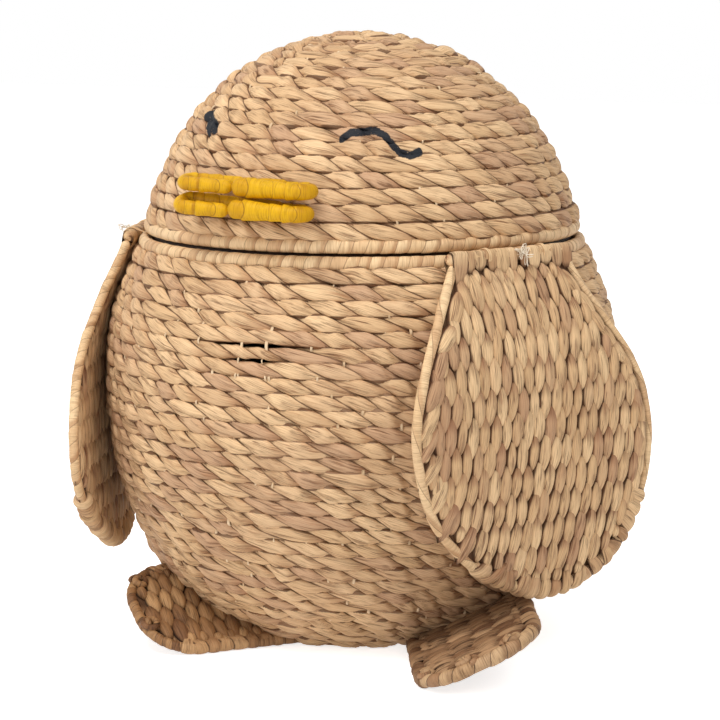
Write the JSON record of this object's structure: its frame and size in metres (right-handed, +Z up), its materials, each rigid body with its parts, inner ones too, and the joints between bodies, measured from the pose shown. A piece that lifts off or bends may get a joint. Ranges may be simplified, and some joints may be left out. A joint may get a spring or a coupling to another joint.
{
  "type": "lidded storage basket",
  "caption": "Bird-shaped storage basket of twisted plant rope, with a lift-off domed lid for a head, a wrapped beak, hanging woven wings and splayed feet.",
  "frame": {"origin": "on the floor, at the middle of the flat base, on the basket's axis", "axes": "+Z up, the beak towards -Y, +X towards the bird's own left wing"},
  "size_m": [0.4388, 0.373, 0.4295],
  "materials": {
    "hyacinth_rope": "matt dried water hyacinth, tan with paler and browner strands",
    "wrapped_strip": "satin pale strip wound over a core",
    "yellow_strip": "yellow dyed strip, satin",
    "frame_wire": "dark lacquered iron wire",
    "tie_thread": "waxed off-white thread"
  },
  "bodies": {
    "basket": {"body_wall": "hyacinth_rope", "body_mouth_roll": "wrapped_strip", "body_base": "hyacinth_rope", "frame_ring_mouth": "frame_wire", "frame_ring_belly": "frame_wire", "frame_ring_base": "frame_wire", "frame_rib_1": "frame_wire", "frame_rib_2": "frame_wire", "frame_rib_3": "frame_wire", "frame_rib_4": "frame_wire", "frame_rib_5": "frame_wire", "frame_rib_6": "frame_wire", "frame_rib_7": "frame_wire", "frame_rib_8": "frame_wire", "wing_left_tie_front": "tie_thread", "wing_left_tie_back": "tie_thread", "wing_right_tie_front": "tie_thread", "wing_right_tie_back": "tie_thread", "foot_left_edge": "wrapped_strip", "foot_left_pad": "hyacinth_rope", "foot_right_edge": "wrapped_strip", "foot_right_pad": "hyacinth_rope"},
    "lid": {"lid_shell": "hyacinth_rope", "lid_roll": "wrapped_strip", "lid_seat_ring": "wrapped_strip", "lid_ring_crown": "frame_wire", "lid_rib_1": "frame_wire", "lid_rib_2": "frame_wire", "lid_rib_3": "frame_wire", "lid_rib_4": "frame_wire", "lid_rib_5": "frame_wire", "lid_rib_6": "frame_wire", "lid_rib_7": "frame_wire", "lid_rib_8": "frame_wire", "beak_upper": "yellow_strip", "beak_lower": "yellow_strip"},
    "wing_left": {"wing_left_roll": "wrapped_strip", "wing_left_edge": "wrapped_strip", "wing_left_panel": "hyacinth_rope"},
    "wing_right": {"wing_right_roll": "wrapped_strip", "wing_right_edge": "wrapped_strip", "wing_right_panel": "hyacinth_rope"}
  },
  "joints": [
    {"name": "lid_lift", "type": "slide", "parent": "basket", "child": "lid", "axis": [0, 0, 1], "range_m": [0, 0.13]},
    {"name": "wing_left_swing", "type": "hinge", "parent": "basket", "child": "wing_left", "pos_m": [0.15238, -0.06312, 0.2835], "axis": [-0.3827, -0.9239, 0], "range_deg": [0, 40]},
    {"name": "wing_right_swing", "type": "hinge", "parent": "basket", "child": "wing_right", "pos_m": [-0.15238, -0.06312, 0.2835], "axis": [-0.3827, 0.9239, 0], "range_deg": [0, 40]}
  ]
}
